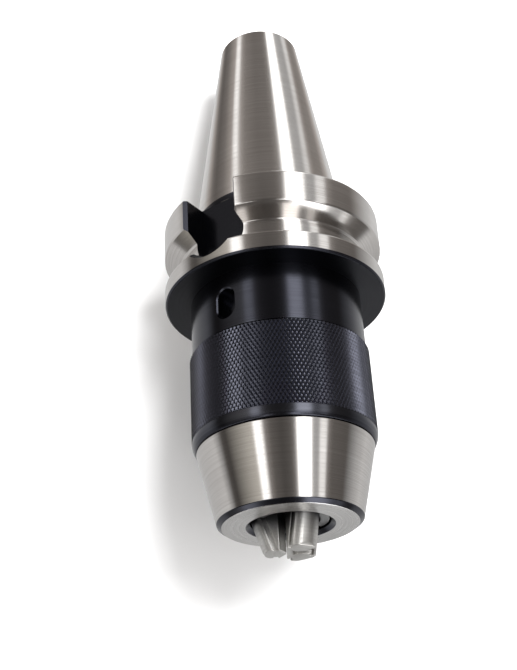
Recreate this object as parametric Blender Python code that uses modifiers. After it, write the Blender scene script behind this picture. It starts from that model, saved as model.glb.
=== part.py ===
"""Keyless drill chuck with an integral 40-size 7/24 taper shank, built as separate pieces.

The frame: the origin is on the axis at the taper's gauge line, +Z points along the axis
towards the small end of the taper (up, as the holder hangs in a vertical machine spindle),
and the two drive keyways lie on -Y and +Y. Depths are counted from the gauge line towards
the nose, so a point at depth d has z = -d.
"""

import math

import bmesh
import bpy
from mathutils import Matrix, Vector

MM = 0.001
GAP = 0.3  # mm between pieces that touch on the real chuck
TURNED_STEPS = 72

# Shank: the 40-size steep taper and its V-flange (mm)
GAUGE_R = 22.225
TAPER_LENGTH = 68.4
TAPER_RATE = 7 / 48  # radius lost per mm of length: 7/24 on the diameter
TAPER_END_CHAMFER = 1.0
RELIEF_R = 22.3
FLANGE_R = 31.5
FLANGE_REAR = 2.0
FLANGE_FRONT = 27.0
FLANGE_CHAMFER = 0.5
GROOVE_CENTRE = 16.6
GROOVE_MOUTH = 10.0
GROOVE_FLOOR_R = 26.5
GROOVE_SIDE = math.radians(30)
NECK_R = 24.25
NECK_FRONT = 43.95
NECK_FILLET = 0.6
BARREL_R = 18.8
BARREL_FRONT = 55.0

# Holes in the shank (mm)
STUD_SEAT_R = 8.5
STUD_SEAT_DEPTH = 5.4
STUD_THREAD_R = 6.9
STUD_THREAD_DEPTH = 35.0
DRILL_POINT = math.radians(59)
HEAD_POCKET_R = 13.2
HEAD_POCKET_REAR = 52.0
SCREW_BORE_R = 8.3
SCREW_BORE_REAR = 16.0

# Drive keyways and wrench pockets, both at -Y and +Y (mm)
KEY_WIDTH = 16.1
KEY_FLOOR = 22.6
KEY_END = 23.4
KEY_EDGE_BREAK = 1.25
KEY_ANGLES = (-90, 90)
WRENCH_WIDTH = 5.0
WRENCH_REAR = 31.6
WRENCH_FRONT = 40.4
WRENCH_FLOOR = 20.45

# Bearing between the shank and the turning sleeve (mm)
RACE_INNER_R = 19.1
RACE_OUTER_R = 22.0
BALL_R = 1.5
BALL_PITCH_R = 20.55
BALL_DEPTH = 50.1
BALL_COUNT = 24
RACE_CLEARANCE = 1.45  # from the balls' plane to either race's face
RETAINER_REAR = 46.3
SEAL_REAR = 44.3
SEAL_FRONT = 46.0
COLLAR_SCREW_R = 1.0
COLLAR_SCREW_DEPTH = 53.4

# Grip sleeve and nose cone (mm)
SLEEVE_R = 25.0
SLEEVE_BORE_R = 22.3
SLEEVE_REAR = 44.25
KNURL_FRONT = 68.4
BAND_R = 24.9
SLEEVE_FRONT = 71.4
SLEEVE_FRONT_R = 24.0
CONE_REAR = 71.7
CONE_REAR_R = 23.9
CONE_FRONT = 91.0
CONE_FRONT_R = 19.2
NOSE = 92.0
NOSE_EDGE_R = 17.8
MOUTH_R = 11.56
SKIRT_R = 22.0
SKIRT_REAR = 56.0
SKIRT_BORE_R = 20.4

# Jaws, their slope, and the cone that they slide on (mm)
JAW_SLOPE = math.radians(18)
JAW_BACK_R_AT_NOSE = 9.8
JAW_END = 99.1
JAW_REAR = 80.5
JAW_WIDTH = 7.1
JAW_BACK_RADIUS = 5.0
JAW_HEIGHT = 12.0
JAW_GROOVE_TOP = 1.0
JAW_GROOVE_WIDTH = 1.2
JAW_GROOVE_DEPTH = 0.9
GRIP_R = 1.6
GRIP_HALF_WIDTH = 0.6
JAW_END_CHAMFER = 0.8
JAW_PHASE = -25  # degrees round from +X to the first jaw
JAW_COUNT = 3
FOOT_INNER = 3.0
FOOT_OUTER = 8.6
FOOT_WIDTH = 6.4
FOOT_REAR = 75.5
FOOT_FRONT = 77.5
FOOT_NECK_WIDTH = 3.5

# Jaw guide (mm)
GUIDE_REAR = 57.5
GUIDE_RING_FRONT = 60.4
GUIDE_RING_BORE_R = 15.4
GUIDE_FRONT = 90.6
GUIDE_BORE_R = 7.8
GUIDE_WEB_R = 11.4
GUIDE_WEB_FRONT = 80.6
PIN_R = 1.25
PIN_DEPTH = 60.4
PIN_INNER = 17.4

# Drive screw (mm)
HEAD_R = 11.0
HEAD_REAR = 72.5
HEAD_FRONT = JAW_REAR - GAP
SCREW_R = 8.0
SCREW_REAR = 36.5
RELEASE_HEX = 2.5
RELEASE_DEPTH = 5.0

MATERIALS = {
    "ground_steel": ((0.62, 0.60, 0.57, 1), 0.28, 1.0),
    "black_oxide": ((0.02, 0.02, 0.024, 1), 0.42, 0.7),
    "jaw_steel": ((0.55, 0.53, 0.50, 1), 0.38, 1.0),
    "ball_steel": ((0.70, 0.70, 0.70, 1), 0.12, 1.0),
    "seal_rubber": ((0.015, 0.015, 0.015, 1), 0.75, 0.0),
}


def clear_scene():
    for obj in list(bpy.data.objects):
        bpy.data.objects.remove(obj)


def collection_named(name):
    made = bpy.data.collections.new(name)
    bpy.context.scene.collection.children.link(made)
    return made


def material_named(name):
    found = bpy.data.materials.get(name)
    if found:
        return found
    colour, roughness, metallic = MATERIALS[name]
    made = bpy.data.materials.new(name)
    made.use_nodes = True
    shader = made.node_tree.nodes["Principled BSDF"]
    shader.inputs["Base Color"].default_value = colour
    shader.inputs["Roughness"].default_value = roughness
    shader.inputs["Metallic"].default_value = metallic
    return made


def new_object(name, mesh, collection, material=None):
    obj = bpy.data.objects.new(name, mesh)
    collection.objects.link(obj)
    if material:
        mesh.materials.append(material_named(material))
    return obj


def as_cutter(obj):
    obj.hide_render = True
    obj.display_type = "WIRE"
    return obj


def boolean(obj, other, operation):
    modifier = obj.modifiers.new(operation.lower() + "_" + other.name, "BOOLEAN")
    modifier.operation = operation
    modifier.object = other


def turned(name, profile, collection, material, closed=True, steps=TURNED_STEPS):
    """A turned piece. The profile is (radius, depth) in mm, down the outer side first."""
    mesh = bpy.data.meshes.new(name)
    points = [(r * MM, 0, -d * MM) for r, d in profile]
    edges = [(i, i + 1) for i in range(len(points) - 1)]
    if closed:
        edges.append((len(points) - 1, 0))
    mesh.from_pydata(points, edges, [])
    obj = new_object(name, mesh, collection, material)
    screw = obj.modifiers.new("turned", "SCREW")
    screw.axis = "Z"
    screw.steps = steps
    screw.render_steps = steps
    screw.use_merge_vertices = True
    screw.merge_threshold = 1e-6
    return obj


def baked(obj):
    """Replaces an object's mesh by its evaluated one, so that copies can share it."""
    graph = bpy.context.evaluated_depsgraph_get()
    mesh = bpy.data.meshes.new_from_object(obj.evaluated_get(graph))
    obj.modifiers.clear()
    obj.data = mesh
    return obj


def box(name, low, high, collection, material=None):
    """A box between two corners, in mm."""
    bm = bmesh.new()
    bmesh.ops.create_cube(bm, size=1)
    low, high = Vector(low) * MM, Vector(high) * MM
    bmesh.ops.scale(bm, vec=high - low, verts=bm.verts)
    bmesh.ops.translate(bm, vec=(low + high) / 2, verts=bm.verts)
    mesh = bpy.data.meshes.new(name)
    bm.to_mesh(mesh)
    bm.free()
    return new_object(name, mesh, collection, material)


def rod(name, radius, length, collection, material=None, sides=24):
    """A cylinder from its origin along +X, in mm, for pins, screws and their holes."""
    bm = bmesh.new()
    bmesh.ops.create_cone(
        bm, cap_ends=True, segments=sides, radius1=radius * MM, radius2=radius * MM, depth=length * MM
    )
    bmesh.ops.rotate(bm, matrix=Matrix.Rotation(math.pi / 2, 3, "Y"), verts=bm.verts)
    bmesh.ops.translate(bm, vec=(length * MM / 2, 0, 0), verts=bm.verts)
    mesh = bpy.data.meshes.new(name)
    bm.to_mesh(mesh)
    bm.free()
    return new_object(name, mesh, collection, material)


def prism(name, outline, top_outline, height, collection, material=None):
    """Extrudes an outline in the XY plane by height along +Z, to a matching top outline, in mm."""
    bm = bmesh.new()
    base = bm.faces.new([bm.verts.new((x * MM, y * MM, 0)) for x, y in outline])
    corners = [v.co.copy() for v in base.verts]
    raised = bmesh.ops.extrude_face_region(bm, geom=[base])["geom"]
    for vert in (v for v in raised if isinstance(v, bmesh.types.BMVert)):
        nearest = min(range(len(corners)), key=lambda i: (corners[i] - vert.co).length)
        x, y = top_outline[nearest]
        vert.co = Vector((x * MM, y * MM, height * MM))
    bmesh.ops.recalc_face_normals(bm, faces=bm.faces)
    mesh = bpy.data.meshes.new(name)
    bm.to_mesh(mesh)
    bm.free()
    return new_object(name, mesh, collection, material)


def arc(centre, radius, start, end, count):
    """Points on an arc, from start to end in degrees."""
    angles = [math.radians(start + (end - start) * i / count) for i in range(count + 1)]
    return [(centre[0] + radius * math.cos(a), centre[1] + radius * math.sin(a)) for a in angles]


def cone_r(depth):
    """Radius of the jaws' backs where they cross a depth, with the chuck as it rests."""
    return JAW_BACK_R_AT_NOSE + (NOSE - depth) * math.tan(JAW_SLOPE)


def depth_of_cone(radius):
    return NOSE - (radius - JAW_BACK_R_AT_NOSE) / math.tan(JAW_SLOPE)


def stadium(half_width, rear, end_centre):
    """Outline of a slot that is open at the rear and has a half-round end: (across, depth)."""
    return arc((0, end_centre), half_width, 0, 180, 16) + [(-half_width, rear), (half_width, rear)]


def place_radially(cutter, angle, floor):
    """Stands a cutter on a plane at this distance from the axis: its (x, y, z) become
    (across, towards the nose, out from the axis)."""
    outwards = Vector((math.cos(math.radians(angle)), math.sin(math.radians(angle)), 0))
    towards_nose = Vector((0, 0, -1))
    turn = Matrix((towards_nose.cross(outwards), towards_nose, outwards)).transposed().to_4x4()
    cutter.matrix_world = Matrix.Translation(outwards * floor * MM) @ turn
    return as_cutter(cutter)


def edge_break(name, outline, end_centre, collection):
    """A flared plug that breaks a slot's edge by the same amount all along the flange's rim."""
    top = FLANGE_R + 2
    lower, upper = [], []
    for x, y in outline:
        foot = math.sqrt(FLANGE_R**2 - x**2) - KEY_EDGE_BREAK
        out = Vector((x, max(y - end_centre, 0))).normalized()
        spread = top - foot
        lower.append((x * MM, y * MM, foot * MM))
        upper.append(((x + out.x * spread) * MM, (y + out.y * spread) * MM, top * MM))
    n = len(outline)
    sides = [(i, (i + 1) % n, n + (i + 1) % n, n + i) for i in range(n)]
    mesh = bpy.data.meshes.new(name)
    mesh.from_pydata(lower + upper, [], sides + [tuple(range(n)), tuple(range(n, 2 * n))])
    bm = bmesh.new()
    bm.from_mesh(mesh)
    bmesh.ops.triangulate(bm, faces=bm.faces)
    bmesh.ops.recalc_face_normals(bm, faces=bm.faces)
    bm.to_mesh(mesh)
    bm.free()
    return new_object(name, mesh, collection)


def keyway_cutters(angle, cutters):
    """The end mill's path for one drive keyway, and its broken edges."""
    half = KEY_WIDTH / 2
    outline = stadium(half, -FLANGE_REAR, KEY_END - half)
    slot = prism(f"keyway_{angle}", outline, outline, FLANGE_R + 2 - KEY_FLOOR, cutters)
    edges = edge_break(f"keyway_edges_{angle}", outline, KEY_END - half, cutters)
    return place_radially(slot, angle, KEY_FLOOR), place_radially(edges, angle, 0)


def wrench_cutter(angle, cutters):
    half = WRENCH_WIDTH / 2
    outline = arc((0, WRENCH_FRONT - half), half, 0, 180, 12) + arc((0, WRENCH_REAR + half), half, 180, 360, 12)
    cutter = prism(f"wrench_{angle}", outline, outline, NECK_R + 2 - WRENCH_FLOOR, cutters)
    return place_radially(cutter, angle, WRENCH_FLOOR)


def shank_profile():
    groove_drop = (FLANGE_R - GROOVE_FLOOR_R) * math.tan(GROOVE_SIDE)
    groove_rear = GROOVE_CENTRE - GROOVE_MOUTH / 2
    groove_front = GROOVE_CENTRE + GROOVE_MOUTH / 2
    small_end = -TAPER_LENGTH
    small_r = GAUGE_R - TAPER_LENGTH * TAPER_RATE
    thread_end = small_end + STUD_THREAD_DEPTH
    fillet_centre = (NECK_R + NECK_FILLET, FLANGE_FRONT + NECK_FILLET)
    return [
        (0, thread_end + STUD_THREAD_R / math.tan(DRILL_POINT)),
        (STUD_THREAD_R, thread_end),
        (STUD_THREAD_R, small_end + STUD_SEAT_DEPTH),
        (STUD_SEAT_R, small_end + STUD_SEAT_DEPTH),
        (STUD_SEAT_R, small_end),
        (small_r - TAPER_END_CHAMFER, small_end),
        (small_r + TAPER_END_CHAMFER * TAPER_RATE, small_end + TAPER_END_CHAMFER),
        (GAUGE_R, 0),
        (RELIEF_R, 0.3),
        (RELIEF_R, FLANGE_REAR),
        (FLANGE_R - FLANGE_CHAMFER, FLANGE_REAR),
        (FLANGE_R, FLANGE_REAR + FLANGE_CHAMFER),
        (FLANGE_R, groove_rear),
        (GROOVE_FLOOR_R, groove_rear + groove_drop),
        (GROOVE_FLOOR_R, groove_front - groove_drop),
        (FLANGE_R, groove_front),
        (FLANGE_R, FLANGE_FRONT - FLANGE_CHAMFER),
        (FLANGE_R - FLANGE_CHAMFER, FLANGE_FRONT),
        *arc(fillet_centre, NECK_FILLET, 270, 180, 4),
        (NECK_R, NECK_FRONT - 0.4),
        (NECK_R - 0.4, NECK_FRONT),
        (BARREL_R, NECK_FRONT),
        (BARREL_R, BARREL_FRONT - 0.5),
        (BARREL_R - 0.5, BARREL_FRONT),
        (HEAD_POCKET_R, BARREL_FRONT),
        (HEAD_POCKET_R, HEAD_POCKET_REAR),
        (SCREW_BORE_R, HEAD_POCKET_REAR),
        (SCREW_BORE_R, SCREW_BORE_REAR),
        (0, SCREW_BORE_REAR - SCREW_BORE_R / math.tan(DRILL_POINT)),
    ]


def make_shank(parts, cutters):
    shank = turned("shank_body", shank_profile(), parts, "ground_steel", closed=False)
    for angle in KEY_ANGLES:
        for cutter in keyway_cutters(angle, cutters):
            boolean(shank, cutter, "DIFFERENCE")
        boolean(shank, wrench_cutter(angle, cutters), "DIFFERENCE")
    return shank


def race_groove(face_side):
    """Points of the ball track across a race's face: +1 for the race in front of the balls."""
    radius = BALL_R + GAP
    half = math.degrees(math.acos(RACE_CLEARANCE / radius))
    middle = 90 * face_side
    return arc((BALL_PITCH_R, BALL_DEPTH), radius, middle - half, middle + half, 6)


def make_bearing(parts, cutters):
    collar_rear = BALL_DEPTH + RACE_CLEARANCE
    track = sorted(race_groove(1))
    collar_profile = [(RACE_INNER_R, collar_rear), *track, (RACE_OUTER_R, collar_rear)]
    collar_profile += [(RACE_OUTER_R, BARREL_FRONT), (RACE_INNER_R, BARREL_FRONT)]
    collar = turned("thrust_collar", collar_profile, parts, "ball_steel")
    for number, angle in enumerate((45, 225), start=1):
        turn = Matrix.Rotation(math.radians(angle), 4, "Z")
        seat = Matrix.Translation((0, 0, -COLLAR_SCREW_DEPTH * MM))
        hole = as_cutter(rod(f"collar_hole_{number}", COLLAR_SCREW_R + GAP, 8, cutters))
        hole.matrix_world = seat @ turn @ Matrix.Translation(((RACE_INNER_R - 2) * MM, 0, 0))
        boolean(collar, hole, "DIFFERENCE")
        length = RACE_OUTER_R - RACE_INNER_R - GAP
        screw = rod(f"collar_screw_{number}", COLLAR_SCREW_R, length, parts, "black_oxide", sides=16)
        screw.matrix_world = seat @ turn @ Matrix.Translation(((RACE_INNER_R + GAP / 2) * MM, 0, 0))
    retainer_front = BALL_DEPTH - RACE_CLEARANCE
    track = sorted(race_groove(-1), reverse=True)
    ring_profile = [(RACE_OUTER_R, RETAINER_REAR), (RACE_OUTER_R, retainer_front), *track]
    ring_profile += [(RACE_INNER_R, retainer_front), (RACE_INNER_R, RETAINER_REAR)]
    ring = turned("retaining_ring", ring_profile, parts, "black_oxide")
    for angle in (0, 180):
        # notches for the two-pin spanner that screws the ring into the sleeve
        notch = box(f"spanner_notch_{angle}", (RACE_INNER_R - 1, -1.2, -RETAINER_REAR - 1.2),
                    (RACE_OUTER_R + 1, 1.2, -RETAINER_REAR + 1), cutters)
        notch.rotation_euler.z = math.radians(angle)
        boolean(ring, as_cutter(notch), "DIFFERENCE")
    turned("dust_seal", [
        (RACE_OUTER_R, SEAL_REAR),
        (RACE_OUTER_R, SEAL_FRONT),
        (RACE_INNER_R + 0.6, SEAL_FRONT),
        (RACE_INNER_R, (SEAL_REAR + SEAL_FRONT) / 2),
        (RACE_INNER_R + 0.6, SEAL_REAR),
    ], parts, "seal_rubber")


def make_balls(parts):
    bm = bmesh.new()
    bmesh.ops.create_icosphere(bm, subdivisions=2, radius=BALL_R * MM)
    mesh = bpy.data.meshes.new("bearing_ball")
    bm.to_mesh(mesh)
    bm.free()
    mesh.shade_smooth()
    mesh.materials.append(material_named("ball_steel"))
    for i in range(BALL_COUNT):
        ball = new_object(f"bearing_ball_{i + 1:02d}", mesh, parts)
        angle = 2 * math.pi * i / BALL_COUNT
        ball.location = (
            BALL_PITCH_R * MM * math.cos(angle),
            BALL_PITCH_R * MM * math.sin(angle),
            -BALL_DEPTH * MM,
        )


def make_sleeve(parts):
    return turned("grip_sleeve", [
        (SLEEVE_R - 0.5, SLEEVE_REAR),
        (SLEEVE_R, SLEEVE_REAR + 0.5),
        (SLEEVE_R, KNURL_FRONT - 0.2),
        (BAND_R, KNURL_FRONT),
        (BAND_R, KNURL_FRONT + 1.3),
        (SLEEVE_FRONT_R, SLEEVE_FRONT),
        (SLEEVE_BORE_R, SLEEVE_FRONT),
        (SLEEVE_BORE_R, SLEEVE_REAR + 0.4),
        (SLEEVE_BORE_R + 0.4, SLEEVE_REAR),
    ], parts, "black_oxide")


def pin_angles():
    step = 360 / JAW_COUNT
    return [JAW_PHASE + step * (i + 0.5) for i in range(JAW_COUNT)]


def pin_holes(cutters, obj, label):
    for number, angle in enumerate(pin_angles(), start=1):
        hole = as_cutter(rod(f"{label}_hole_{number}", PIN_R + GAP, SKIRT_R + 2 - PIN_INNER + GAP, cutters))
        hole.matrix_world = pin_place(angle, PIN_INNER - GAP)
        boolean(obj, hole, "DIFFERENCE")


def pin_place(angle, radius):
    place = Matrix.Translation((0, 0, -PIN_DEPTH * MM))
    return place @ Matrix.Rotation(math.radians(angle), 4, "Z") @ Matrix.Translation((radius * MM, 0, 0))


def make_hood(parts, cutters):
    inner = GAP  # the cone is this much wider than the jaws' backs
    bevel_depth = NOSE - (MOUTH_R - JAW_BACK_R_AT_NOSE - inner) / (1 + math.tan(JAW_SLOPE))
    bore_depth = depth_of_cone(SKIRT_BORE_R - inner)
    hood = turned("nose_cone", [
        (SKIRT_R, SKIRT_REAR),
        (SKIRT_R, CONE_REAR),
        (CONE_REAR_R, CONE_REAR),
        (CONE_FRONT_R, CONE_FRONT),
        (NOSE_EDGE_R, NOSE),
        (MOUTH_R, NOSE),
        (cone_r(bevel_depth) + inner, bevel_depth),
        (SKIRT_BORE_R, bore_depth),
        (SKIRT_BORE_R, SKIRT_REAR),
    ], parts, "ground_steel")
    pin_holes(cutters, hood, "cone_pin")
    return hood


def make_guide(parts, cutters):
    outer = -GAP / 2  # the guide stands this far inside the jaws' backs
    guide = turned("jaw_guide", [
        (SKIRT_BORE_R - GAP, GUIDE_REAR),
        (SKIRT_BORE_R - GAP, depth_of_cone(SKIRT_BORE_R - GAP - outer)),
        (cone_r(GUIDE_FRONT) + outer, GUIDE_FRONT),
        (GUIDE_BORE_R, GUIDE_FRONT),
        (GUIDE_BORE_R, GUIDE_WEB_FRONT + 1),
        (GUIDE_WEB_R, GUIDE_WEB_FRONT),
        (GUIDE_WEB_R, GUIDE_RING_FRONT),
        (GUIDE_RING_BORE_R, GUIDE_RING_FRONT),
        (GUIDE_RING_BORE_R, GUIDE_REAR),
    ], parts, "jaw_steel")
    half = JAW_WIDTH / 2 + GAP
    for i in range(JAW_COUNT):
        channel = box(f"jaw_channel_{i + 1}", (-1, -half, -NOSE - 1),
                      (SKIRT_R, half, -GUIDE_RING_FRONT), cutters)
        channel.rotation_euler.z = math.radians(JAW_PHASE + i * 360 / JAW_COUNT)
        boolean(guide, as_cutter(channel), "DIFFERENCE")
    pin_holes(cutters, guide, "guide_pin")
    for number, angle in enumerate(pin_angles(), start=1):
        pin = rod(f"guide_pin_{number}", PIN_R, SKIRT_R - PIN_INNER - 0.1, parts, "ball_steel", sides=20)
        pin.matrix_world = pin_place(angle, PIN_INNER)
    return guide


def t_bar(name, margin, reach, front, collection):
    """A bar of T section out along +X, like a jaw's foot and neck, grown by a margin, in mm."""
    neck, foot = FOOT_NECK_WIDTH / 2 + margin, FOOT_WIDTH / 2 + margin
    step, rear = FOOT_FRONT + margin, FOOT_REAR - margin
    outline = [(neck, -front), (neck, -step), (foot, -step), (foot, -rear)]
    outline += [(-x, y) for x, y in reversed(outline)]
    bar = prism(name, outline, outline, reach[1] - reach[0], collection)
    along_x = Matrix(((0, 0, 1), (1, 0, 0), (0, 1, 0))).to_4x4()
    bar.data.transform(Matrix.Translation((reach[0] * MM, 0, 0)) @ along_x)
    return bar


def make_screw(parts, cutters):
    screw = turned("drive_screw", [
        (0, SCREW_REAR),
        (SCREW_R - 1, SCREW_REAR),
        (SCREW_R, SCREW_REAR + 1),
        (SCREW_R, HEAD_REAR - 0.6),
        (SCREW_R + 0.6, HEAD_REAR),
        (HEAD_R - 0.5, HEAD_REAR),
        (HEAD_R, HEAD_REAR + 0.5),
        (HEAD_R, HEAD_FRONT - 0.5),
        (HEAD_R - 0.5, HEAD_FRONT),
        (0, HEAD_FRONT),
    ], parts, "jaw_steel", closed=False)
    for i in range(JAW_COUNT):
        slot = t_bar(f"t_slot_{i + 1}", GAP, (FOOT_INNER - GAP, HEAD_R + 1), HEAD_FRONT + 1, cutters)
        slot.rotation_euler.z = math.radians(JAW_PHASE + i * 360 / JAW_COUNT)
        boolean(screw, as_cutter(slot), "DIFFERENCE")
    hexagon = arc((0, 0), RELEASE_HEX / 2 / math.cos(math.pi / 6), 0, 300, 5)
    socket = prism("release_hex", hexagon, hexagon, RELEASE_DEPTH + 2, cutters)
    socket.rotation_euler.z = math.radians(10)
    socket.location.z = -(HEAD_FRONT + 2) * MM
    boolean(screw, as_cutter(socket), "DIFFERENCE")
    return screw


def jaw_section():
    """Half-round back, a groove down each side, and flat sides: (across, out from the inner face)."""
    half = JAW_WIDTH / 2
    sag = JAW_BACK_RADIUS - math.sqrt(JAW_BACK_RADIUS**2 - half**2)
    shoulder = JAW_HEIGHT - sag
    reach = math.degrees(math.asin(half / JAW_BACK_RADIUS))
    centre = (0, JAW_HEIGHT - JAW_BACK_RADIUS)
    back = arc(centre, JAW_BACK_RADIUS, 90 - reach, 90 + reach, 10)
    top, bottom = shoulder - JAW_GROOVE_TOP, shoulder - JAW_GROOVE_TOP - JAW_GROOVE_WIDTH
    left = [(-half, top), (-half + JAW_GROOVE_DEPTH, top), (-half + JAW_GROOVE_DEPTH, bottom), (-half, bottom)]
    right = [(-x, y) for x, y in reversed(left)]
    return [*back, *left, (-half, 0), (half, 0), *right]


def cut(bm, point, outwards):
    """Cuts off what lies beyond a plane, and closes the cut. The point is in mm."""
    geometry = bm.verts[:] + bm.edges[:] + bm.faces[:]
    made = bmesh.ops.bisect_plane(
        bm, geom=geometry, dist=1e-7, plane_co=Vector(point) * MM, plane_no=outwards, clear_outer=True
    )
    rim = [e for e in made["geom_cut"] if isinstance(e, bmesh.types.BMEdge)]
    bmesh.ops.holes_fill(bm, edges=rim, sides=0)


def jaw_mesh(cutters):
    """One jaw, out along +X from the chuck's axis: a sloping bar cut to a 120 degree gripping wedge."""
    slope = Vector((-math.sin(JAW_SLOPE), 0, -math.cos(JAW_SLOPE)))  # the way the jaw closes
    across = Vector((0, 1, 0))
    out = across.cross(slope) if across.cross(slope).x > 0 else slope.cross(across)
    length = 60
    outline = jaw_section()
    bar = prism("jaw_bar", outline, outline, length, cutters)
    back_at_nose = Vector((JAW_BACK_R_AT_NOSE, 0, -NOSE))
    start = back_at_nose - out * JAW_HEIGHT - slope * (length * 0.6)
    frame = Matrix((across, out, slope)).transposed().to_4x4()
    bar.data.transform(Matrix.Translation(start * MM) @ frame)
    bm = bmesh.new()
    bm.from_mesh(bar.data)
    wedge = math.radians(60)
    for side in (-1, 1):
        flank = Vector((-math.sin(wedge), side * math.cos(wedge), 0))
        cut(bm, (GRIP_R, side * GRIP_HALF_WIDTH, 0), flank)
    cut(bm, (GRIP_R, 0, 0), (-1, 0, 0))
    cut(bm, (0, 0, -JAW_END), (0, 0, -1))
    cut(bm, (0, 0, -JAW_REAR), (0, 0, 1))
    tip_back = cone_r(JAW_END)
    cut(bm, (tip_back - JAW_END_CHAMFER * 0.6, 0, -JAW_END), Vector((1, 0, -0.8)).normalized())
    bmesh.ops.recalc_face_normals(bm, faces=bm.faces)
    bm.to_mesh(bar.data)
    bm.free()
    foot = t_bar("jaw_foot", 0, (FOOT_INNER, FOOT_OUTER), JAW_REAR + 1.5, cutters)
    boolean(bar, as_cutter(foot), "UNION")
    as_cutter(bar)
    return baked(bar).data


def make_jaws(parts, cutters):
    mesh = jaw_mesh(cutters)
    mesh.name = "jaw"
    mesh.materials.clear()
    mesh.materials.append(material_named("jaw_steel"))
    for i in range(JAW_COUNT):
        jaw = new_object(f"jaw_{i + 1}", mesh, parts)
        jaw.rotation_euler.z = math.radians(JAW_PHASE + i * 360 / JAW_COUNT)


def main():
    clear_scene()
    parts = collection_named("drill_chuck")
    cutters = collection_named("cutters")
    make_shank(parts, cutters)
    make_bearing(parts, cutters)
    make_balls(parts)
    make_sleeve(parts)
    make_hood(parts, cutters)
    make_guide(parts, cutters)
    make_screw(parts, cutters)
    make_jaws(parts, cutters)


main()
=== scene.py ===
"""Looks for a keyless drill chuck with an integral 40-size steep taper shank.

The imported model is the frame: +Z runs along the axis towards the small end of the taper, and
the origin is at the gauge line. Depths count from there towards the nose, so z = -depth.
Lengths in this file are in millimetres until they reach a mesh.
"""

import math

import bmesh
import bpy
from mathutils import Matrix, Vector


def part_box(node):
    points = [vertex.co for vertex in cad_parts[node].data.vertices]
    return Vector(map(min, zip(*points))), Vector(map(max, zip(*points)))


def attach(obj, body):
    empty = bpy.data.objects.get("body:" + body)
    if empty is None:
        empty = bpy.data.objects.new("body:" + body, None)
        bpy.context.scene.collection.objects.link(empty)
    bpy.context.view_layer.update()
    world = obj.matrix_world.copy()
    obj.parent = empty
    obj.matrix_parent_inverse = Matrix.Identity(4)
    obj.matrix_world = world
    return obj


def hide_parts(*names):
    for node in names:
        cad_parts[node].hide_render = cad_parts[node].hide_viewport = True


MM = 0.001
STEPS_ROUND = 256  # faces round a turned piece
CORNER_POINTS = 4
CORNER_REST = 0.03  # a ring this far from a rounded corner keeps its neighbours flat

# Taper, flange and neck
GAUGE_R = 22.225
TAPER_RATE = 7 / 48
TAPER_END_CHAMFER = 1.0
RELIEF_R = 22.3
RELIEF_REAR = 0.3
FLANGE_REAR = 2.0
FLANGE_FRONT = 27.0
FLANGE_CHAMFER = 0.5
GROOVE_CENTRE = 16.6
GROOVE_MOUTH = 10.0
GROOVE_FLOOR_R = 26.5
GROOVE_SIDE = math.radians(30)
NECK_R = 24.25
NECK_FRONT = 43.95
BARREL_R = 18.8

# Holes in the shank. The stud's depths count from the taper's small end
STUD_SEAT_R = 8.5
STUD_SEAT_DEPTH = 5.4
STUD_THREAD_R = 6.9
STUD_THREAD_DEPTH = 35
STUD_DRILL_DEPTH = 40
HEAD_POCKET_R = 13.2
HEAD_POCKET_REAR = 52.0
SCREW_BORE_R = 8.3
SCREW_BORE_REAR = 16.0
SCREW_DRILL_REAR = 11.0

# Keyways and wrench pockets
SLOT_ANGLES = (-90, 90)
KEY_WIDTH = 16.1
KEY_FLOOR = 22.6
KEY_REAR = -2.0  # past the flange's rear face, so the slot is open there
KEY_END = 23.4
KEY_EDGE_BREAK = 1.25
WRENCH_WIDTH = 5.6
WRENCH_EDGE_BREAK = 0.35
EDGE_START = 0.45  # an edge cutter starts this far inside its slot
WRENCH_REAR = 31.6
WRENCH_FRONT = 40.4
WRENCH_FLOOR = 20.45

# Sleeve and nose cone
KNURL_PITCH = 1.12  # round the sleeve
KNURL_ANGLE = math.radians(30)
KNURL_CUT = 0.34
KNURL_START = 0.35  # from the sleeve's rear end
KNURL_FRONT = 68.4
KNURL_THICKNESS = 0.7
KNURL_BED = 0.5  # the sleeve's own surface lies this far under the crests
KNURL_BED_START = 0.4
REAR_CHAMFER = 0.55
REAR_LIP = 0.2
BAND_R = 24.9
BAND_LENGTH = 1.2
SLEEVE_FRONT_R = 24.0
SLEEVE_SHOULDER_R = 24.35
SLEEVE_BORE_R = 22.3
SKIRT_R = 22.0
SKIRT_BORE_R = 20.4
CONE_LENGTH = 20.3  # with the black edge in front of it
CONE_FRONT_R = 19.2
NOSE_EDGE_LENGTH = 1.0
NOSE_EDGE_R = 17.8
MOUTH_R = 11.56

# Jaws
JAW_NUMBERS = (1, 2, 3)
JAW_BACK_R_AT_NOSE = 9.8
JAW_BACK_GAP = 0.3  # between a jaw's back and the cone
JAW_SLOPE = math.radians(18)
JAW_EASING = 0.15
GUIDE_EASING = 0.12
FLAT_ANGLE = math.radians(0.5)  # faces closer than this are one flat face
EDGE_ANGLE = math.radians(25)  # edges sharper than this are eased
JAW_SHADE_FROM, JAW_SHADE_TO = 91.0, 96.5  # depths between which the painted shade on the jaws fades away
JAW_SHADE_SHARE = 0.85
JAW_SHADE_COLOUR = (0.05, 0.05, 0.055, 1)

# Table: it leans back behind the chuck and touches the flange
TABLE_TILT = math.radians(9.5)
TABLE_DISTANCE = 0.0318  # metres from the chuck's axis
TABLE_TOUCH_Z = -0.026
TABLE_HALF_SIDE = 2.5

# Camera: its place, the directions to its right, upwards and backwards, and its lens
CAMERA_PLACE = (0.14583, -0.22015, -0.17762)
CAMERA_RIGHT = (0.80492, 0.59113, -0.05162)
CAMERA_UP = (0.31741, -0.35544, 0.87916)
CAMERA_BACK = (0.50135, -0.72404, -0.47373)
CAMERA_LENS = 56.96

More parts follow.
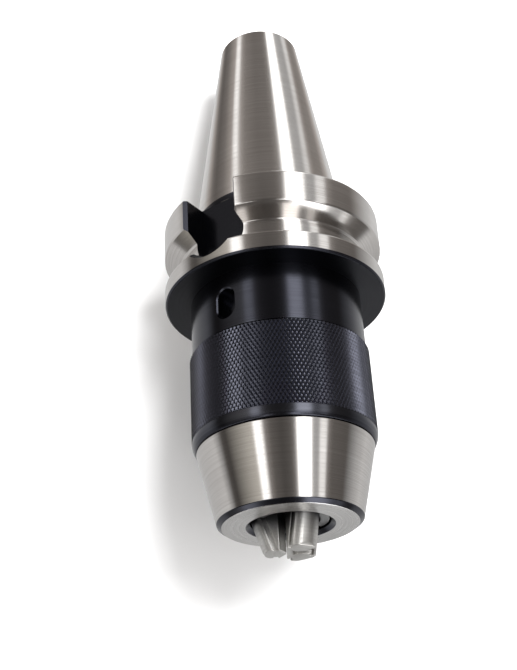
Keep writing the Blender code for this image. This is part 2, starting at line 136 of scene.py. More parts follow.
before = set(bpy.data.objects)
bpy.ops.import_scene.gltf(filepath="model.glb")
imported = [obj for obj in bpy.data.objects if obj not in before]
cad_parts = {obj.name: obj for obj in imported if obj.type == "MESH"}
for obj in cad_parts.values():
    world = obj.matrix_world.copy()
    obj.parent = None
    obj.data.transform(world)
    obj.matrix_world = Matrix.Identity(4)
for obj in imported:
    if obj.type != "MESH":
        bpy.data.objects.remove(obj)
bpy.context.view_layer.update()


# ---------------------------------------------------------------- meshes


def depth_range(node):
    """(depth nearest the taper, depth nearest the nose) of a node, in mm."""
    low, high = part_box(node)
    return -high[2] / MM, -low[2] / MM


def outer_radius(node):
    low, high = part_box(node)
    return (high[0] - low[0]) / 2 / MM


def new_piece(name, mesh):
    piece = bpy.data.objects.new(name, mesh)
    bpy.context.scene.collection.objects.link(piece)
    return piece


def smooth(mesh, angle=28):
    mesh.shade_smooth()
    mesh.set_sharp_from_angle(angle=math.radians(angle))


def rounded(profile):
    """Rounds each corner of a turned profile. Points are (radius, depth, corner size, finish);
    the finish is that of the stretch after the point."""
    out = []
    count = len(profile)
    for i, (r, d, size, finish) in enumerate(profile):
        here = Vector((r, d))
        before = Vector(profile[i - 1][:2])
        after = Vector(profile[(i + 1) % count][:2])
        if size == 0:
            out.append((r, d, finish))
            continue
        start = here + (before - here).normalized() * min(size, (before - here).length * 0.45)
        end = here + (after - here).normalized() * min(size, (after - here).length * 0.45)
        bend = [start + (before - start).normalized() * min(CORNER_REST, (before - start).length * 0.1)]
        for k in range(CORNER_POINTS + 1):
            t = k / CORNER_POINTS
            bend.append(start * (1 - t) ** 2 + here * 2 * t * (1 - t) + end * t**2)
        bend.append(end + (after - end).normalized() * min(CORNER_REST, (after - end).length * 0.1))
        out += [(point.x, point.y, finish) for point in bend]
    return out


def turned(name, profile, finishes, steps=STEPS_ROUND):
    """A closed solid of revolution from a loop of (radius, depth, corner size, finish)."""
    points = rounded(profile)
    bm = bmesh.new()
    rings = []
    for r, d, _ in points:
        if r < 1e-6:
            rings.append([bm.verts.new((0, 0, -d * MM))] * steps)
            continue
        ring = []
        for i in range(steps):
            angle = 2 * math.pi * i / steps
            ring.append(bm.verts.new((r * MM * math.cos(angle), r * MM * math.sin(angle), -d * MM)))
        rings.append(ring)
    names = list(dict.fromkeys(p[2] for p in points))
    for k, (r, _, finish) in enumerate(points):
        upper, lower = rings[k], rings[(k + 1) % len(rings)]
        for i in range(steps):
            j = (i + 1) % steps
            corners = list(dict.fromkeys((upper[i], lower[i], lower[j], upper[j])))
            if len(corners) > 2:
                bm.faces.new(corners).material_index = names.index(finish)
    if bm.calc_volume(signed=True) < 0:
        bmesh.ops.reverse_faces(bm, faces=bm.faces)
    mesh = bpy.data.meshes.new(name)
    bm.to_mesh(mesh)
    bm.free()
    for finish in names:
        mesh.materials.append(finishes[finish])
    return new_piece(name, mesh)


def arc(centre, radius, start, end, count):
    angles = [math.radians(start + (end - start) * i / count) for i in range(count + 1)]
    return [(centre[0] + radius * math.cos(a), centre[1] + radius * math.sin(a)) for a in angles]


def loft(name, lower, upper, material):
    """A closed solid between two matching outlines of 3-D points in mm."""
    n = len(lower)
    sides = [(i, (i + 1) % n, n + (i + 1) % n, n + i) for i in range(n)]
    mesh = bpy.data.meshes.new(name)
    points = [Vector(p) * MM for p in lower + upper]
    mesh.from_pydata(points, [], sides + [tuple(range(n)), tuple(range(n, 2 * n))])
    bm = bmesh.new()
    bm.from_mesh(mesh)
    bmesh.ops.triangulate(bm, faces=bm.faces)
    bmesh.ops.recalc_face_normals(bm, faces=bm.faces)
    bm.to_mesh(mesh)
    bm.free()
    mesh.materials.append(material)
    return new_piece(name, mesh)


def stand_radially(cutter, angle):
    """Stands a cutter drawn as (across, towards the nose, out) at this angle round the axis."""
    outwards = Vector((math.cos(math.radians(angle)), math.sin(math.radians(angle)), 0))
    nosewards = Vector((0, 0, -1))
    turn = Matrix((nosewards.cross(outwards), nosewards, outwards)).transposed().to_4x4()
    cutter.data.transform(turn)
    return cutter


def cut_away(piece, cutters):
    for cutter in cutters:
        modifier = piece.modifiers.new(cutter.name, "BOOLEAN")
        modifier.operation = "DIFFERENCE"
        modifier.solver = "MANIFOLD"
        modifier.object = cutter
        modifier.material_mode = "TRANSFER"
    settle(piece)
    for cutter in cutters:
        bpy.data.objects.remove(cutter)


def settle(piece):
    """Makes the evaluated shape the piece's own mesh."""
    graph = bpy.context.evaluated_depsgraph_get()
    mesh = bpy.data.meshes.new_from_object(piece.evaluated_get(graph))
    piece.modifiers.clear()
    piece.data = mesh


# ------------------------------------------------------------- materials


def node_group(name, inputs, outputs):
    group = bpy.data.node_groups.new(name, "ShaderNodeTree")
    for label, kind, value in inputs:
        socket = group.interface.new_socket(label, in_out="INPUT", socket_type=kind)
        socket.default_value = value
    for label, kind in outputs:
        group.interface.new_socket(label, in_out="OUTPUT", socket_type=kind)
    return group


def math_node(tree, operation, first, second=None):
    node = tree.nodes.new("ShaderNodeMath")
    node.operation = operation
    for socket, value in zip(node.inputs, (first, second)):
        if value is None:
            continue
        if isinstance(value, (int, float)):
            socket.default_value = value
        else:
            tree.links.new(value, socket)
    return node.outputs[0]


def turning_marks_group():
    """Fine rings left by turning and grinding: they run round the axis on every surface."""
    group = node_group(
        "Turning Marks",
        [("Lines per mm", "NodeSocketFloat", 5.0), ("Drift", "NodeSocketFloat", 40.0)],
        [("Lines", "NodeSocketFloat"), ("Cloud", "NodeSocketFloat")],
    )
    nodes, links = group.nodes, group.links
    given = nodes.new("NodeGroupInput")
    result = nodes.new("NodeGroupOutput")
    place = nodes.new("ShaderNodeTexCoord")
    split = nodes.new("ShaderNodeSeparateXYZ")
    links.new(place.outputs["Object"], split.inputs[0])
    x, y, z = split.outputs
    radius = math_node(group, "SQRT", math_node(group, "ADD", math_node(group, "MULTIPLY", x, x),
                                                math_node(group, "MULTIPLY", y, y)))
    per_metre = math_node(group, "MULTIPLY", given.outputs["Lines per mm"], 1 / MM)
    join = nodes.new("ShaderNodeCombineXYZ")
    links.new(math_node(group, "ADD", math_node(group, "MULTIPLY", z, per_metre),
                        math_node(group, "MULTIPLY", x, given.outputs["Drift"])), join.inputs[0])
    links.new(math_node(group, "ADD", math_node(group, "MULTIPLY", radius, per_metre),
                        math_node(group, "MULTIPLY", y, given.outputs["Drift"])), join.inputs[1])
    lines = nodes.new("ShaderNodeTexNoise")
    lines.inputs["Scale"].default_value = 1.0
    lines.inputs["Detail"].default_value = 3.0
    links.new(join.outputs[0], lines.inputs["Vector"])
    links.new(lines.outputs[0], result.inputs["Lines"])
    cloud = nodes.new("ShaderNodeTexNoise")
    cloud.inputs["Scale"].default_value = 90.0
    cloud.inputs["Detail"].default_value = 4.0
    links.new(place.outputs["Object"], cloud.inputs["Vector"])
    links.new(cloud.outputs[0], result.inputs["Cloud"])
    return group


def principled(name):
    material = bpy.data.materials.new(name)
    material.use_nodes = True
    return material, material.node_tree, material.node_tree.nodes["Principled BSDF"]


def ramped(tree, value, low, high, low_at=0.3, high_at=0.7):
    """Turns a mask into a number or a colour between two values."""
    if isinstance(low, tuple):
        ramp = tree.nodes.new("ShaderNodeValToRGB")
        ramp.color_ramp.elements[0].position = low_at
        ramp.color_ramp.elements[0].color = (*low, 1)
        ramp.color_ramp.elements[1].position = high_at
        ramp.color_ramp.elements[1].color = (*high, 1)
        tree.links.new(value, ramp.inputs[0])
        return ramp.outputs[0]
    mapped = tree.nodes.new("ShaderNodeMapRange")
    mapped.inputs["From Min"].default_value = low_at
    mapped.inputs["From Max"].default_value = high_at
    mapped.inputs["To Min"].default_value = low
    mapped.inputs["To Max"].default_value = high
    tree.links.new(value, mapped.inputs["Value"])
    return mapped.outputs[0]


def machined(name, marks, dark, light, rough, metallic=1.0, lines=5.0, relief=0.02,
             anisotropy=0.0):
    """A turned or ground metal: rings in its colour, gloss and surface."""
    material, tree, shader = principled(name)
    rings = tree.nodes.new("ShaderNodeGroup")
    rings.node_tree = marks
    rings.inputs["Lines per mm"].default_value = lines
    mask = math_node(tree, "ADD", math_node(tree, "MULTIPLY", rings.outputs["Lines"], 0.7),
                     math_node(tree, "MULTIPLY", rings.outputs["Cloud"], 0.3))
    tree.links.new(ramped(tree, mask, dark, light), shader.inputs["Base Color"])
    tree.links.new(ramped(tree, mask, rough[1], rough[0]), shader.inputs["Roughness"])
    shader.inputs["Metallic"].default_value = metallic
    shader.inputs["Anisotropic"].default_value = anisotropy
    shader.inputs["Anisotropic Rotation"].default_value = 0.25
    bump = tree.nodes.new("ShaderNodeBump")
    bump.inputs["Strength"].default_value = 0.5
    bump.inputs["Distance"].default_value = relief * MM
    tree.links.new(rings.outputs["Lines"], bump.inputs["Height"])
    tree.links.new(bump.outputs[0], shader.inputs["Normal"])
    return material


def make_finishes():
    marks = turning_marks_group()
    return {
        "ground": machined("ground_steel", marks, (0.50, 0.475, 0.455), (0.64, 0.62, 0.60),
                           (0.11, 0.17), lines=4.0, relief=0.001, anisotropy=0.6),
        "face": machined("faced_steel", marks, (0.52, 0.51, 0.50), (0.66, 0.65, 0.64),
                         (0.24, 0.34), lines=3.0, relief=0.004, anisotropy=0.4),
        "black": machined("black_oxide", marks, (0.036, 0.037, 0.046), (0.054, 0.056, 0.069),
                          (0.17, 0.25), lines=3.0, relief=0.002, anisotropy=0.5),
        "black_face": machined("faced_oxide", marks, (0.013, 0.0135, 0.017), (0.020, 0.021, 0.026),
                               (0.30, 0.40), lines=3.0, relief=0.002),
        "guide": machined("guide_steel", marks, (0.20, 0.20, 0.20), (0.28, 0.28, 0.28),
                          (0.35, 0.45), lines=3.0, relief=0.004),
        "band": machined("polished_oxide", marks, (0.060, 0.062, 0.074), (0.085, 0.088, 0.104),
                         (0.17, 0.25), lines=3.0, relief=0.002, anisotropy=0.5),
        "knurl": machined("knurled_oxide", marks, (0.060, 0.062, 0.078), (0.095, 0.098, 0.122),
                          (0.20, 0.28), lines=1.0, relief=0.001),
        "dark_bore": machined("bore_oxide", marks, (0.012, 0.012, 0.014), (0.02, 0.02, 0.023),
                              (0.45, 0.6), lines=2.0, relief=0.004),
        "jaw": machined("jaw_steel", marks, (0.46, 0.45, 0.43), (0.62, 0.61, 0.59),
                        (0.30, 0.42), lines=2.0, relief=0.006),
        "polished": machined("bearing_steel", marks, (0.66, 0.66, 0.66), (0.72, 0.72, 0.72),
                             (0.08, 0.12), lines=1.0, relief=0.0005),
        "rubber": machined("seal_rubber", marks, (0.014, 0.014, 0.014), (0.022, 0.022, 0.022),
                           (0.6, 0.75), metallic=0.0, lines=1.0, relief=0.01),
    }


# ---------------------------------------------------------------- pieces


def shank_profile():
    rear, front = depth_range("shank_body")
    flange_r = outer_radius("shank_body")
    small_r = GAUGE_R + rear * TAPER_RATE
    drop = (flange_r - GROOVE_FLOOR_R) * math.tan(GROOVE_SIDE)
    groove_rear, groove_front = GROOVE_CENTRE - GROOVE_MOUTH / 2, GROOVE_CENTRE + GROOVE_MOUTH / 2
    return [
        (0, rear + STUD_DRILL_DEPTH, 0, "dark_bore"),
        (STUD_THREAD_R, rear + STUD_THREAD_DEPTH, 0, "dark_bore"),
        (STUD_THREAD_R, rear + STUD_SEAT_DEPTH, 0, "dark_bore"),
        (STUD_SEAT_R, rear + STUD_SEAT_DEPTH, 0.1, "dark_bore"),
        (STUD_SEAT_R, rear, 0.3, "ground"),
        (small_r - TAPER_END_CHAMFER, rear, 0.2, "ground"),
        (small_r + TAPER_RATE * TAPER_END_CHAMFER, rear + TAPER_END_CHAMFER, 0.2, "ground"),
        (GAUGE_R, 0, 0.15, "black"),
        (RELIEF_R, RELIEF_REAR, 0, "black"),
        (RELIEF_R, FLANGE_REAR, 0.3, "ground"),
        (flange_r, FLANGE_REAR, 0.6, "ground"),
        (flange_r, groove_rear, 0.35, "ground"),
        (GROOVE_FLOOR_R, groove_rear + drop, 0.5, "ground"),
        (GROOVE_FLOOR_R, groove_front - drop, 0.5, "ground"),
        (flange_r, groove_front, 0.35, "ground"),
        (flange_r, FLANGE_FRONT - FLANGE_CHAMFER, 0.15, "black"),
        (flange_r - FLANGE_CHAMFER, FLANGE_FRONT, 0.15, "black_face"),
        (NECK_R, FLANGE_FRONT, 0, "black"),
        (NECK_R, NECK_FRONT, 0.4, "black"),
        (BARREL_R, NECK_FRONT, 0, "dark_bore"),
        (BARREL_R, front, 0.3, "ground"),
        (HEAD_POCKET_R, front, 0.2, "ground"),
        (HEAD_POCKET_R, HEAD_POCKET_REAR, 0, "ground"),
        (SCREW_BORE_R, HEAD_POCKET_REAR, 0, "ground"),
        (SCREW_BORE_R, SCREW_BORE_REAR, 0, "ground"),
        (0, SCREW_DRILL_REAR, 0, "ground"),
    ]


def slot_cutters(name, width, rear, front, floor, surface_r, edge_break, finish, open_rear=False):
    """A flat-floored slot with round ends cut into a cylinder, and the break along its edges."""
    half, top = width / 2, surface_r + 2
    front_centre, rear_centre = front - half, rear + half
    outline = arc((0, front_centre), half, 0, 180, 24)
    if open_rear:
        rear_centre = rear
        outline += [(-half, rear), (half, rear)]
    else:
        outline += arc((0, rear_centre), half, 180, 360, 24)[1:-1]
    slot = loft(f"{name}_slot", [(x, y, floor) for x, y in outline],
                [(x, y, top) for x, y in outline], finish)
    lower, upper = [], []
    for x, y in outline:
        foot = math.sqrt(surface_r**2 - x**2) - edge_break
        out = Vector((x, y - min(max(y, rear_centre), front_centre))).normalized()
        lower.append((x - out.x * EDGE_START, y - out.y * EDGE_START, foot - EDGE_START))
        upper.append((x + out.x * (top - foot), y + out.y * (top - foot), top))
    return [slot, loft(f"{name}_edges", lower, upper, finish)]


def make_shank(finishes):
    shank = turned("shank", shank_profile(), finishes)
    flange_r = outer_radius("shank_body")
    cutters = []
    for angle in SLOT_ANGLES:
        made = slot_cutters(f"key_{angle}", KEY_WIDTH, KEY_REAR, KEY_END, KEY_FLOOR, flange_r,
                            KEY_EDGE_BREAK, finishes["black"], open_rear=True)
        made += slot_cutters(f"wrench_{angle}", WRENCH_WIDTH, WRENCH_REAR, WRENCH_FRONT,
                             WRENCH_FLOOR, NECK_R, WRENCH_EDGE_BREAK, finishes["black"])
        cutters += [stand_radially(cutter, angle) for cutter in made]
    cut_away(shank, cutters)
    smooth(shank.data)
    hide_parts("shank_body")
    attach(shank, "shank")


def knurl_tree():
    """Geometry Nodes: a closed band whose outside is cut with two crossing families of grooves."""
    tree = bpy.data.node_groups.new("Diamond Knurl", "GeometryNodeTree")
    sockets = {}
    for label, kind, value in (
        ("Diamonds Round", "NodeSocketInt", 140),
        ("Diamonds Along", "NodeSocketInt", 12),
        ("Facets", "NodeSocketInt", 6),
        ("Crest Radius", "NodeSocketFloat", 0.025),
        ("Cut", "NodeSocketFloat", 0.0003),
        ("Inner Radius", "NodeSocketFloat", 0.0243),
        ("Top", "NodeSocketFloat", -0.0446),
        ("Bottom", "NodeSocketFloat", -0.0684),
        ("Finish", "NodeSocketMaterial", None),
    ):
        socket = tree.interface.new_socket(label, in_out="INPUT", socket_type=kind)
        if value is not None:
            socket.default_value = value
        sockets[label] = socket.identifier
    tree.interface.new_socket("Geometry", in_out="OUTPUT", socket_type="NodeSocketGeometry")
    nodes, links = tree.nodes, tree.links
    given = nodes.new("NodeGroupInput").outputs

    def m(operation, first, second=None):
        return math_node(tree, operation, first, second)

    round_count = m("MULTIPLY", given["Diamonds Round"], given["Facets"])
    along_count = m("MULTIPLY", given["Diamonds Along"], given["Facets"])
    rows = m("ADD", along_count, 4)  # two more at each end close the band on its inside
    grid = nodes.new("GeometryNodeMeshGrid")
    grid.inputs["Size X"].default_value = 1
    grid.inputs["Size Y"].default_value = 1
    links.new(m("ADD", round_count, 1), grid.inputs["Vertices X"])
    links.new(m("ADD", rows, 1), grid.inputs["Vertices Y"])
    position = nodes.new("GeometryNodeInputPosition")
    split = nodes.new("ShaderNodeSeparateXYZ")
    links.new(position.outputs[0], split.inputs[0])
    column = m("ROUND", m("MULTIPLY", m("ADD", split.outputs[0], 0.5), round_count))
    row = m("ROUND", m("MULTIPLY", m("ADD", split.outputs[1], 0.5), rows))
    around = m("DIVIDE", column, given["Facets"])
    along_row = m("MINIMUM", m("MAXIMUM", m("SUBTRACT", row, 2), 0), along_count)
    along = m("DIVIDE", along_row, given["Facets"])
    one = m("PINGPONG", m("ADD", around, along), 0.5)
    other = m("PINGPONG", m("SUBTRACT", around, along), 0.5)
    height = m("MINIMUM", m("MULTIPLY", m("MINIMUM", one, other), 3), 1)
    crest = m("SUBTRACT", given["Crest Radius"], m("MULTIPLY", m("SUBTRACT", 1, height), given["Cut"]))
    outside = m("MULTIPLY", m("GREATER_THAN", row, 1.5), m("LESS_THAN", row, m("SUBTRACT", rows, 1.5)))
    radius = m("ADD", m("MULTIPLY", crest, outside),
               m("MULTIPLY", given["Inner Radius"], m("SUBTRACT", 1, outside)))
    share = m("DIVIDE", along_row, along_count)
    at_seam = m("ADD", m("LESS_THAN", row, 0.5), m("GREATER_THAN", row, m("SUBTRACT", rows, 0.5)))
    share = m("ADD", m("MULTIPLY", share, m("SUBTRACT", 1, at_seam)), m("MULTIPLY", at_seam, 0.5))
    z = m("ADD", given["Top"], m("MULTIPLY", share, m("SUBTRACT", given["Bottom"], given["Top"])))
    angle = m("MULTIPLY", m("DIVIDE", column, round_count), 2 * math.pi)
    join = nodes.new("ShaderNodeCombineXYZ")
    links.new(m("MULTIPLY", radius, m("COSINE", angle)), join.inputs[0])
    links.new(m("MULTIPLY", radius, m("SINE", angle)), join.inputs[1])
    links.new(z, join.inputs[2])
    place = nodes.new("GeometryNodeSetPosition")
    links.new(grid.outputs["Mesh"], place.inputs["Geometry"])
    links.new(join.outputs[0], place.inputs["Position"])
    weld = nodes.new("GeometryNodeMergeByDistance")
    weld.inputs["Distance"].default_value = 1e-6
    links.new(place.outputs[0], weld.inputs["Geometry"])
    facets = nodes.new("GeometryNodeTriangulate")
    facets.quad_method = "SHORTEST_DIAGONAL"  # the one that follows a groove
    links.new(weld.outputs[0], facets.inputs[0])
    real = nodes.new("GeometryNodeRealizeInstances")
    links.new(facets.outputs[0], real.inputs[0])
    finish = nodes.new("GeometryNodeSetMaterial")
    links.new(real.outputs[0], finish.inputs["Geometry"])
    links.new(given["Finish"], finish.inputs["Material"])
    links.new(finish.outputs[0], nodes.new("NodeGroupOutput").inputs[0])
    return tree, sockets


def make_knurl(finishes, rear, crest_r):
    tree, sockets = knurl_tree()
    knurl = new_piece("knurl_band", bpy.data.meshes.new("knurl_band"))
    modifier = knurl.modifiers.new("knurl", "NODES")
    modifier.node_group = tree
    settings = {
        "Diamonds Round": round(2 * math.pi * crest_r / KNURL_PITCH),
        "Diamonds Along": round((KNURL_FRONT - rear) / KNURL_PITCH * math.tan(KNURL_ANGLE)),
        "Crest Radius": crest_r * MM,
        "Cut": KNURL_CUT * MM,
        "Inner Radius": (crest_r - KNURL_THICKNESS) * MM,
        "Top": -rear * MM,
        "Bottom": -KNURL_FRONT * MM,
        "Finish": finishes["knurl"],
    }
    for label, value in settings.items():
        modifier[sockets[label]] = value
    settle(knurl)
    bm = bmesh.new()
    bm.from_mesh(knurl.data)
    bmesh.ops.recalc_face_normals(bm, faces=bm.faces)
    bm.to_mesh(knurl.data)
    bm.free()
    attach(knurl, "sleeve_assembly")


def make_sleeve(finishes):
    rear, front = depth_range("grip_sleeve")
    crest_r = outer_radius("grip_sleeve")
    sleeve = turned("sleeve", [
        (crest_r - REAR_CHAMFER, rear, 0.15, "black"),
        (crest_r - REAR_LIP, rear + KNURL_START, 0.1, "black"),
        (crest_r - KNURL_BED, rear + KNURL_BED_START, 0, "black"),
        (crest_r - KNURL_BED, KNURL_FRONT - 0.05, 0, "black"),
        (BAND_R, KNURL_FRONT - 0.02, 0.1, "band"),
        (BAND_R, KNURL_FRONT + BAND_LENGTH, 0.8, "band"),
        (SLEEVE_SHOULDER_R, front - 0.5, 0.4, "black"),
        (SLEEVE_FRONT_R, front, 0.2, "black"),
        (SLEEVE_BORE_R, front, 0, "dark_bore"),
        (SLEEVE_BORE_R, rear + KNURL_BED_START, 0, "black"),
        (SLEEVE_BORE_R + 0.4, rear, 0.1, "black"),
    ], finishes)
    smooth(sleeve.data)
    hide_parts("grip_sleeve")
    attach(sleeve, "sleeve_assembly")
    make_knurl(finishes, rear + KNURL_START, crest_r)


def jaw_back_r(depth, nose):
    return JAW_BACK_R_AT_NOSE + (nose - depth) * math.tan(JAW_SLOPE)


def make_nose(finishes):
    skirt_rear, nose = depth_range("nose_cone")
    bevel = nose - (MOUTH_R - JAW_BACK_R_AT_NOSE - JAW_BACK_GAP) / (1 + math.tan(JAW_SLOPE))
    bore_depth = nose - (SKIRT_BORE_R - JAW_BACK_GAP - JAW_BACK_R_AT_NOSE) / math.tan(JAW_SLOPE)
    cone = turned("nose_cone_shell", [
        (SKIRT_R, skirt_rear, 0.2, "ground"),
        (SKIRT_R, nose - CONE_LENGTH, 0, "ground"),
        (outer_radius("nose_cone"), nose - CONE_LENGTH, 0.25, "ground"),
        (CONE_FRONT_R, nose - NOSE_EDGE_LENGTH, 0.12, "black"),
        (NOSE_EDGE_R, nose, 0.12, "face"),
        (MOUTH_R, nose, 0.1, "black"),
        (jaw_back_r(bevel, nose) + JAW_BACK_GAP, bevel, 0.15, "dark_bore"),
        (SKIRT_BORE_R, bore_depth, 0, "ground"),
        (SKIRT_BORE_R, skirt_rear, 0, "ground"),
    ], finishes)
    smooth(cone.data)
    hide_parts("nose_cone")
    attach(cone, "sleeve_assembly")


def eased_copy(node, name, size, material):
    """A copy of a CAD piece with its edges eased, as a deburred part has them."""
    bm = bmesh.new()
    bm.from_mesh(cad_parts[node].data)
    bmesh.ops.remove_doubles(bm, verts=bm.verts, dist=1e-6)
    bmesh.ops.dissolve_limit(bm, angle_limit=FLAT_ANGLE, verts=bm.verts, edges=bm.edges)
    edges = [e for e in bm.edges if len(e.link_faces) == 2 and e.calc_face_angle() > EDGE_ANGLE]
    bmesh.ops.bevel(bm, geom=edges, offset=size * MM, segments=2, profile=0.6, affect="EDGES",
                    clamp_overlap=True)
    mesh = bpy.data.meshes.new(name)
    bm.to_mesh(mesh)
    bm.free()
    mesh.materials.append(material)
    smooth(mesh, 35)
    return new_piece(name, mesh)


def painted_root_shade(material):
    """Darkens the jaws where they come out of the mouth: painted shade of the recess, not oil or dust.
    """
    tree = material.node_tree
    shader = tree.nodes["Principled BSDF"]
    place = tree.nodes.new("ShaderNodeTexCoord")
    split = tree.nodes.new("ShaderNodeSeparateXYZ")
    tree.links.new(place.outputs["Object"], split.inputs[0])
    # painted shade: the jaw colour darkens towards where the jaw enters the mouth
    dark = ramped(tree, split.outputs[2], 0.0, JAW_SHADE_SHARE, -JAW_SHADE_TO * MM, -JAW_SHADE_FROM * MM)
    mix = tree.nodes.new("ShaderNodeMixRGB")
    tree.links.new(dark, mix.inputs["Fac"])
    tree.links.new(shader.inputs["Base Color"].links[0].from_socket, mix.inputs["Color1"])
    mix.inputs["Color2"].default_value = JAW_SHADE_COLOUR
    tree.links.new(mix.outputs[0], shader.inputs["Base Color"])


def make_jaws(finishes):
    # the jaws get painted shade where they enter the mouth
    painted_root_shade(finishes["jaw"])
    for number in JAW_NUMBERS:
        jaw = eased_copy(f"jaw_{number}", f"gripping_jaw_{number}", JAW_EASING, finishes["jaw"])
        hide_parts(f"jaw_{number}")
        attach(jaw, f"jaw_{number}")
    guide = eased_copy("jaw_guide", "jaw_guide_body", GUIDE_EASING, finishes["guide"])
    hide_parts("jaw_guide")
    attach(guide, "sleeve_assembly")


def finish_inner_pieces(finishes):
    wanted = {"drive_screw": "jaw", "thrust_collar": "polished", "retaining_ring": "black",
              "dust_seal": "rubber"}
    for node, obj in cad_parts.items():
        if node.startswith(("bearing_ball", "guide_pin")):
            wanted[node] = "polished"
        if node.startswith("collar_screw"):
            wanted[node] = "black"
        if node in wanted:
            obj.data.materials.clear()
            obj.data.materials.append(finishes[wanted[node]])


# ----------------------------------------------------------------- stage


def azimuth(vector):
    return math.atan2(vector[1], vector[0])


def make_camera():
    camera = bpy.data.objects.new("camera", bpy.data.cameras.new("camera"))
    bpy.context.scene.collection.objects.link(camera)
    camera.data.lens = CAMERA_LENS
    camera.data.clip_start = 0.01
    turn = Matrix((CAMERA_RIGHT, CAMERA_UP, CAMERA_BACK)).transposed().to_4x4()
    camera.matrix_world = Matrix.Translation(CAMERA_PLACE) @ turn
    bpy.context.scene.camera = camera


def make_table():
    """The pale table that the chuck lies on, behind it; it shows from the camera's side only."""
    facing = Vector((math.cos(azimuth(CAMERA_BACK)), math.sin(azimuth(CAMERA_BACK)), 0))
    lean = Vector((0, 0, 1)) * math.sin(TABLE_TILT)
    normal = (facing * math.cos(TABLE_TILT) - lean).normalized()
    touch = -facing * TABLE_DISTANCE + Vector((0, 0, TABLE_TOUCH_Z))
    bm = bmesh.new()
    bmesh.ops.create_grid(bm, x_segments=1, y_segments=1, size=TABLE_HALF_SIDE)
    turn = Vector((0, 0, 1)).rotation_difference(normal).to_matrix().to_4x4()
    bmesh.ops.transform(bm, matrix=Matrix.Translation(touch) @ turn, verts=bm.verts)
    mesh = bpy.data.meshes.new("table")
    bm.to_mesh(mesh)
    bm.free()
    table = new_piece("table", mesh)
    material, tree, shader = principled("white_board")
    shader.inputs["Base Color"].default_value = (0.9, 0.9, 0.905, 1)
    shader.inputs["Roughness"].default_value = 0.75
    clear = tree.nodes.new("ShaderNodeBsdfTransparent")
    side = tree.nodes.new("ShaderNodeNewGeometry")
    pick = tree.nodes.new("ShaderNodeMixShader")
    tree.links.new(side.outputs["Backfacing"], pick.inputs[0])
    tree.links.new(shader.outputs[0], pick.inputs[1])
    tree.links.new(clear.outputs[0], pick.inputs[2])
    tree.links.new(pick.outputs[0], tree.nodes["Material Output"].inputs["Surface"])
    mesh.materials.append(material)
    table.visible_glossy = False
    return normal


# Light round the room: degrees to the right of the camera, brightness, and tint. The lower
# band is what the flange, sleeve and nose cone reflect, the upper band what the taper does.
LOWER_ROOM = (
    (-180, 0.58, "white"), (-150, 0.62, "white"), (-101, 0.80, "white"), (-93, 0.50, "white"),
    (-86, 0.11, "warm"), (-79, 0.08, "warm"), (-70, 0.26, "tan"), (-61, 0.42, "tan"),
    (-50, 0.62, "tan"), (-41, 0.75, "tan"), (-38, 2.10, "white"), (-30, 2.10, "white"),
    (-26, 0.34, "warm"), (-18, 0.16, "warm"), (-5, 0.10, "warm"), (5, 0.13, "warm"),
    (10, 0.22, "warm"), (13.5, 0.60, "white"), (16, 3.60, "white"), (31, 3.60, "white"),
    (34, 0.60, "white"), (42, 0.50, "white"), (45, 1.40, "white"), (52, 1.40, "white"),
    (55, 0.30, "warm"), (62, 0.17, "warm"), (84, 0.14, "warm"), (92, 0.34, "white"),
    (103, 0.56, "white"), (121, 0.78, "white"), (150, 0.62, "white"), (180, 0.58, "white"),
)
UPPER_ROOM = (
    (-180, 0.90, "white"), (-105, 0.80, "white"), (-90, 0.50, "warm"), (-79, 0.24, "warm"),
    (-70, 0.17, "warm"), (-54, 0.26, "warm"), (-47, 0.40, "warm"), (-39, 0.60, "warm"),
    (-37, 1.60, "white"), (-32.5, 1.60, "white"), (-29, 0.48, "warm"), (-22, 0.31, "warm"),
    (-8, 0.24, "warm"), (6, 0.25, "warm"), (12, 0.34, "warm"), (14, 0.55, "white"),
    (17, 3.20, "white"), (25.5, 3.20, "white"), (29.5, 0.70, "white"), (41, 0.50, "white"),
    (45, 1.05, "white"), (50, 1.05, "white"), (54, 0.50, "warm"), (62, 0.34, "warm"),
    (80, 0.36, "warm"), (91, 0.56, "warm"), (107, 0.85, "white"), (180, 0.90, "white"),
)
UPPER_FROM, UPPER_TO = 0.52, 0.66  # heights where the one turns into the other
TINTS = {"white": (1, 1, 1), "warm": (1.0, 0.925, 0.875), "tan": (1.0, 0.96, 0.88)}
BRIGHTEST = 3.6
LEAN = 1.2  # how far the lights lean outwards near the ceiling
LEAST_LEAN = 0.5
BENEATH_FROM, BENEATH_TO = -0.56, -0.50  # heights where the strips under the chuck give way
BENEATH_SPREAD = 2.4  # bearing that a strip underneath gains across the room


def room_band(tree, share, stops):
    ramp = tree.nodes.new("ShaderNodeValToRGB")
    elements = ramp.color_ramp.elements
    while len(elements) < len(stops):
        elements.new(0.5)
    for element, (degrees, brightness, tint) in zip(elements, stops):
        element.position = (degrees + 180) / 360
        element.color = (*(c * brightness / BRIGHTEST for c in TINTS[tint]), 1)
    tree.links.new(share, ramp.inputs[0])
    return ramp.outputs[0]


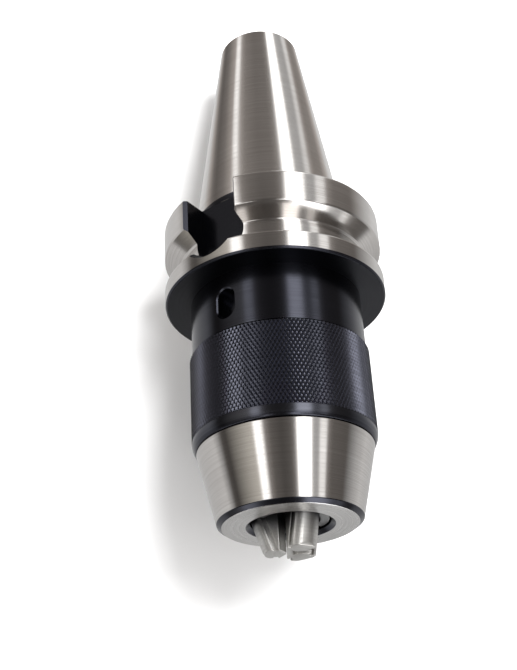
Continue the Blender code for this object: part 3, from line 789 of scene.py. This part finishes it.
def make_room():
    world = bpy.data.worlds.new("room")
    bpy.context.scene.world = world
    world.use_nodes = True
    tree = world.node_tree
    place = tree.nodes.new("ShaderNodeTexCoord")
    split = tree.nodes.new("ShaderNodeSeparateXYZ")
    tree.links.new(place.outputs["Generated"], split.inputs[0])
    x, y, z = split.outputs
    facing = azimuth(CAMERA_BACK)
    # turned so that the camera's own direction is at zero
    ahead = math_node(tree, "ADD", math_node(tree, "MULTIPLY", x, math.cos(facing)),
                      math_node(tree, "MULTIPLY", y, math.sin(facing)))
    right = math_node(tree, "SUBTRACT", math_node(tree, "MULTIPLY", y, math.cos(facing)),
                      math_node(tree, "MULTIPLY", x, math.sin(facing)))
    angle = math_node(tree, "ARCTAN2", right, ahead)
    # underneath, where bearings run together, the strips carry on straight
    beneath = ramped(tree, z, 1.0, 0.0, BENEATH_FROM, BENEATH_TO)
    around = math_node(tree, "MULTIPLY", angle, math_node(tree, "SUBTRACT", 1, beneath))
    across = math_node(tree, "MULTIPLY", right, BENEATH_SPREAD)
    angle = math_node(tree, "ADD", around, math_node(tree, "MULTIPLY", across, beneath))
    height = math_node(tree, "MULTIPLY", z, z)
    fourth_power = math_node(tree, "MULTIPLY", height, height)
    lean = math_node(tree, "SUBTRACT", 1, math_node(tree, "MULTIPLY", fourth_power, LEAN))
    lean = math_node(tree, "MAXIMUM", lean, LEAST_LEAN)
    turns = math_node(tree, "MULTIPLY", math_node(tree, "MULTIPLY", angle, lean), 1 / (2 * math.pi))
    share = math_node(tree, "ADD", turns, 0.5)
    bands = tree.nodes.new("ShaderNodeMixRGB")
    tree.links.new(ramped(tree, z, 0.0, 1.0, UPPER_FROM, UPPER_TO), bands.inputs["Fac"])
    tree.links.new(room_band(tree, share, LOWER_ROOM), bands.inputs["Color1"])
    tree.links.new(room_band(tree, share, UPPER_ROOM), bands.inputs["Color2"])
    background = tree.nodes["Background"]
    tree.links.new(bands.outputs["Color"], background.inputs["Color"])
    background.inputs["Strength"].default_value = BRIGHTEST
    plain = tree.nodes.new("ShaderNodeBackground")
    plain.inputs["Color"].default_value = (0.93, 0.93, 0.935, 1)
    seen = tree.nodes.new("ShaderNodeLightPath")
    pick = tree.nodes.new("ShaderNodeMixShader")
    tree.links.new(seen.outputs["Is Camera Ray"], pick.inputs[0])
    tree.links.new(background.outputs[0], pick.inputs[1])
    tree.links.new(plain.outputs[0], pick.inputs[2])
    tree.links.new(pick.outputs[0], tree.nodes["World Output"].inputs["Surface"])


def make_lamp(name, place, target, size, power):
    lamp = bpy.data.objects.new(name, bpy.data.lights.new(name, "AREA"))
    bpy.context.scene.collection.objects.link(lamp)
    lamp.data.shape = "DISK"
    lamp.data.size = size
    lamp.data.energy = power
    lamp.visible_glossy = False
    aim = (Vector(target) - Vector(place)).to_track_quat("-Z", "Y")
    lamp.matrix_world = Matrix.Translation(place) @ aim.to_matrix().to_4x4()


def make_lights(normal):
    right, up = Vector(CAMERA_RIGHT), Vector(CAMERA_UP)
    target = (0, 0, -0.03)
    make_lamp("key", normal * 0.70 + right * 0.34 + up * 0.21, target, size=0.40, power=10.2)
    make_lamp("fill", normal * 1.1 - right * 0.2, target, size=1.4, power=2.5)


make_camera()
finishes = make_finishes()
make_shank(finishes)
make_sleeve(finishes)
make_nose(finishes)
make_jaws(finishes)
finish_inner_pieces(finishes)
table_normal = make_table()
make_room()
make_lights(table_normal)
bpy.context.scene.view_settings.view_transform = "Standard"
